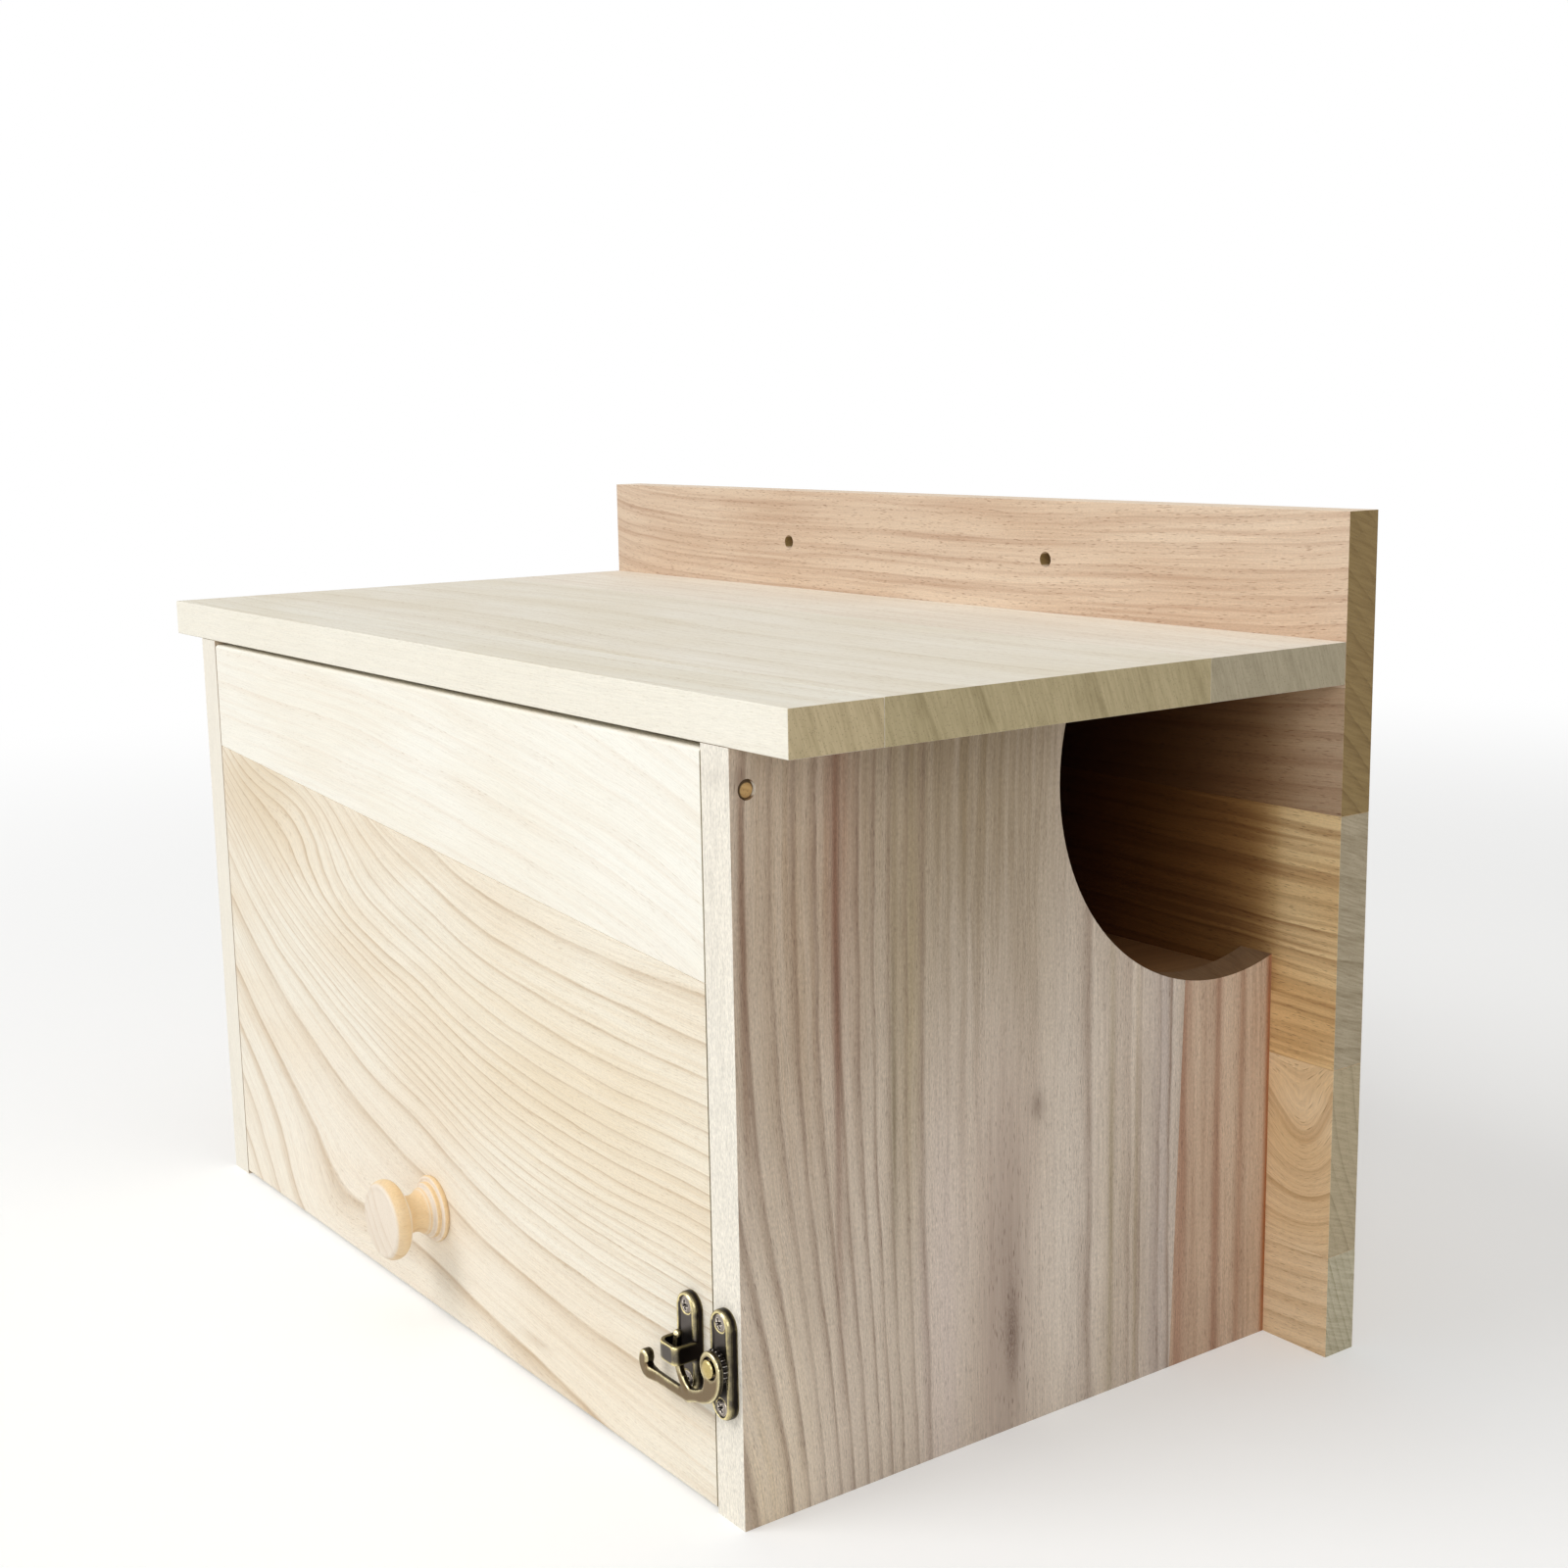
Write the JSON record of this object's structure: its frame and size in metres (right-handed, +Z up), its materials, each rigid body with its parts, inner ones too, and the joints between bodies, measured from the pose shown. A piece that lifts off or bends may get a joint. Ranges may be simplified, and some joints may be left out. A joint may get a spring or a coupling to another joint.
{
  "type": "squirrel nest box",
  "caption": "Wall-hung wooden nest box with a quarter-round side entrance behind a ledge, a lift-up front door on dowel hinges and a swing latch.",
  "frame": {"origin": "bottom centre of the back board's rear face, which lies against the wall or trunk", "axes": "+X to the right seen from the front, -Y out of the door, +Y into the wall, +Z up"},
  "size_m": [0.384, 0.223, 0.248],
  "materials": {
    "back_wood": "planed, unfinished",
    "roof_wood": "planed, unfinished",
    "side_wood": "planed, unfinished",
    "side_rear_wood": "planed, unfinished",
    "inner_wood": "planed, unfinished",
    "door_pale_wood": "planed, unfinished",
    "door_grain_wood": "planed, unfinished",
    "dowel_wood": "smooth",
    "knob_wood": "turned, satin",
    "antique_brass": "dark antique, edges worn bright",
    "rivet_brass": "worn",
    "screw_steel": "zinc plated"
  },
  "bodies": {
    "box": {"back_foot_stave": "back_wood", "back_lower_stave": "back_wood", "back_upper_stave": "back_wood", "back_top_stave": "back_wood", "roof_front_stave": "roof_wood", "roof_middle_stave": "roof_wood", "roof_rear_stave": "roof_wood", "left_front_stave": "side_wood", "left_rear_stave": "side_wood", "right_front_stave": "side_wood", "right_rear_stave": "side_rear_wood", "floor_board": "inner_wood", "entrance_ledge": "inner_wood", "latch_plate": "antique_brass", "latch_washer": "antique_brass", "latch_rivet": "rivet_brass", "latch_screws": "antique_brass", "back_screws": "screw_steel", "roof_dowels": "dowel_wood", "floor_dowels": "dowel_wood", "ledge_dowels": "dowel_wood"},
    "door": {"door_upper_board": "door_pale_wood", "door_lower_board": "door_grain_wood", "left_hinge_dowel": "dowel_wood", "right_hinge_dowel": "dowel_wood", "door_knob": "knob_wood", "knob_screw": "screw_steel", "catch_plate": "antique_brass", "catch_screws": "antique_brass"},
    "latch_hook": {"latch_hook": "antique_brass"}
  },
  "joints": [
    {"name": "door_hinge", "type": "hinge", "parent": "box", "child": "door", "pos_m": [0, -0.199, 0.1895], "axis": [-1, 0, 0], "range_deg": [0, 120]},
    {"name": "hook_pivot", "type": "hinge", "parent": "box", "child": "latch_hook", "pos_m": [0.162, -0.212, 0.0434], "axis": [0, -1, 0], "range_deg": [0, 105]}
  ]
}
